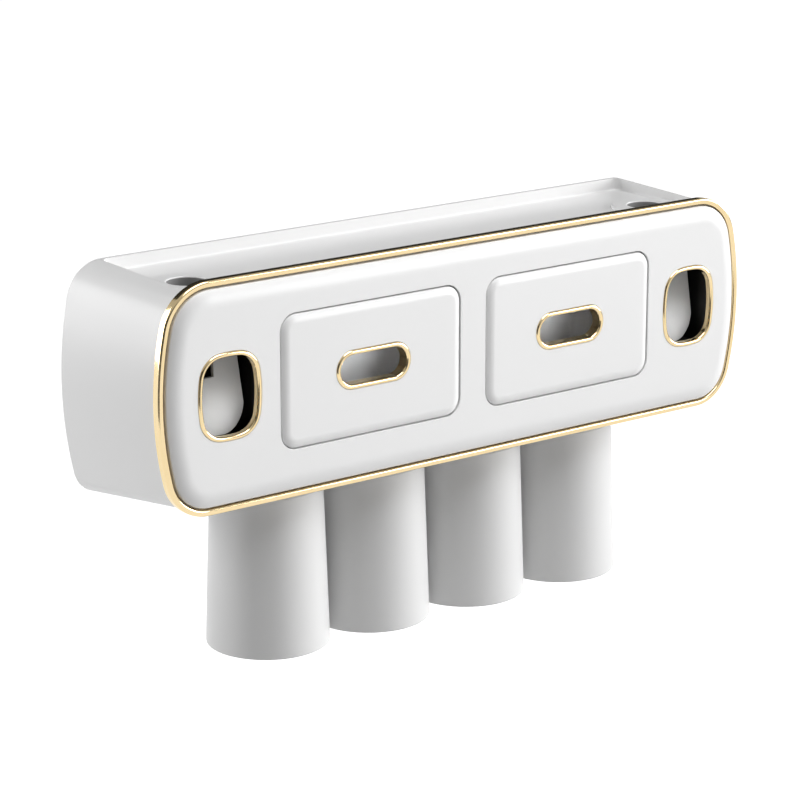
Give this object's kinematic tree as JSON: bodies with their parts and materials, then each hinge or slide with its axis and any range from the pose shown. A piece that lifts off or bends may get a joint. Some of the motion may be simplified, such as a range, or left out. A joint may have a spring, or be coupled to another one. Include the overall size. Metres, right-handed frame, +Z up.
{
  "type": "toothpaste dispenser",
  "caption": "Wall-mounted bathroom organiser with push-lever toothpaste dispensers, pull-out drawers, an open tray on top and magnetic cups that hang rim-down below.",
  "frame": {"origin": "middle of the wall plate's back face, on the wall", "axes": "+X to the right along the wall, +Y into the wall, +Z up; the front looks along -Y"},
  "size_m": [0.4052, 0.0912, 0.2166],
  "materials": {
    "white_plastic": "satin gloss",
    "gold_plating": "gold-plated plastic, polished",
    "black_plastic": "matt",
    "grey_plastic": "matt",
    "soft_rubber": "matt",
    "steel": "plated",
    "magnet_steel": "plated"
  },
  "bodies": {
    "wall_plate": {"wall_plate": "white_plastic"},
    "housing": {"housing_shell": "white_plastic", "rear_cover": "white_plastic", "rear_cover_screws": "steel", "front_panel": "white_plastic", "gold_bezel": "gold_plating", "panel_screws": "steel", "window_trim_left": "gold_plating", "drawer_sleeve_left": "white_plastic", "lever_chamber_left": "black_plastic", "lever_pin_left": "steel", "return_spring_left": "steel", "pump_body_left": "grey_plastic", "pump_bladder_left": "soft_rubber", "outlet_valve_left": "soft_rubber", "tube_collar_left": "white_plastic", "tube_seal_left": "soft_rubber", "window_trim_right": "gold_plating", "drawer_sleeve_right": "white_plastic", "lever_chamber_right": "black_plastic", "lever_pin_right": "steel", "return_spring_right": "steel", "pump_body_right": "grey_plastic", "pump_bladder_right": "soft_rubber", "outlet_valve_right": "soft_rubber", "tube_collar_right": "white_plastic", "tube_seal_right": "soft_rubber", "holder_magnet_1": "magnet_steel", "magnet_cap_1": "grey_plastic", "holder_magnet_2": "magnet_steel", "magnet_cap_2": "grey_plastic", "holder_magnet_3": "magnet_steel", "magnet_cap_3": "grey_plastic", "holder_magnet_4": "magnet_steel", "magnet_cap_4": "grey_plastic"},
    "drawer_left": {"drawer_box_left": "white_plastic", "drawer_front_left": "white_plastic", "slot_trim_left": "gold_plating"},
    "lever_left": {"push_lever_left": "white_plastic"},
    "drawer_right": {"drawer_box_right": "white_plastic", "drawer_front_right": "white_plastic", "slot_trim_right": "gold_plating"},
    "lever_right": {"push_lever_right": "white_plastic"},
    "cup_1": {"cup_1": "white_plastic", "cup_magnet_1": "magnet_steel", "cup_base_cap_1": "white_plastic"},
    "cup_2": {"cup_2": "white_plastic", "cup_magnet_2": "magnet_steel", "cup_base_cap_2": "white_plastic"},
    "cup_3": {"cup_3": "white_plastic", "cup_magnet_3": "magnet_steel", "cup_base_cap_3": "white_plastic"},
    "cup_4": {"cup_4": "white_plastic", "cup_magnet_4": "magnet_steel", "cup_base_cap_4": "white_plastic"}
  },
  "joints": [
    {"name": "housing_lift_off", "type": "slide", "parent": "wall_plate", "child": "housing", "axis": [0, 0, 1], "range_m": [0, 0.0086]},
    {"name": "drawer_left_slide", "type": "slide", "parent": "housing", "child": "drawer_left", "axis": [0, -1, 0], "range_m": [0, 0.055]},
    {"name": "lever_left_push", "type": "hinge", "parent": "housing", "child": "lever_left", "pos_m": [-0.1573, -0.058, 0.0215], "axis": [1, 0, 0], "range_deg": [0, 15], "stiffness_Nm_per_rad": 0.4, "springref_deg": -11.46, "deforming": ["return_spring_left", "pump_bladder_left"]},
    {"name": "drawer_right_slide", "type": "slide", "parent": "housing", "child": "drawer_right", "axis": [0, -1, 0], "range_m": [0, 0.055]},
    {"name": "lever_right_push", "type": "hinge", "parent": "housing", "child": "lever_right", "pos_m": [0.1573, -0.058, 0.0215], "axis": [1, 0, 0], "range_deg": [0, 15], "stiffness_Nm_per_rad": 0.4, "springref_deg": -11.46, "deforming": ["return_spring_right", "pump_bladder_right"]},
    {"name": "cup_1_pull_off", "type": "slide", "parent": "housing", "child": "cup_1", "axis": [0, 0, -1], "range_m": [0, 0.03]},
    {"name": "cup_2_pull_off", "type": "slide", "parent": "housing", "child": "cup_2", "axis": [0, 0, -1], "range_m": [0, 0.03]},
    {"name": "cup_3_pull_off", "type": "slide", "parent": "housing", "child": "cup_3", "axis": [0, 0, -1], "range_m": [0, 0.03]},
    {"name": "cup_4_pull_off", "type": "slide", "parent": "housing", "child": "cup_4", "axis": [0, 0, -1], "range_m": [0, 0.03]}
  ]
}
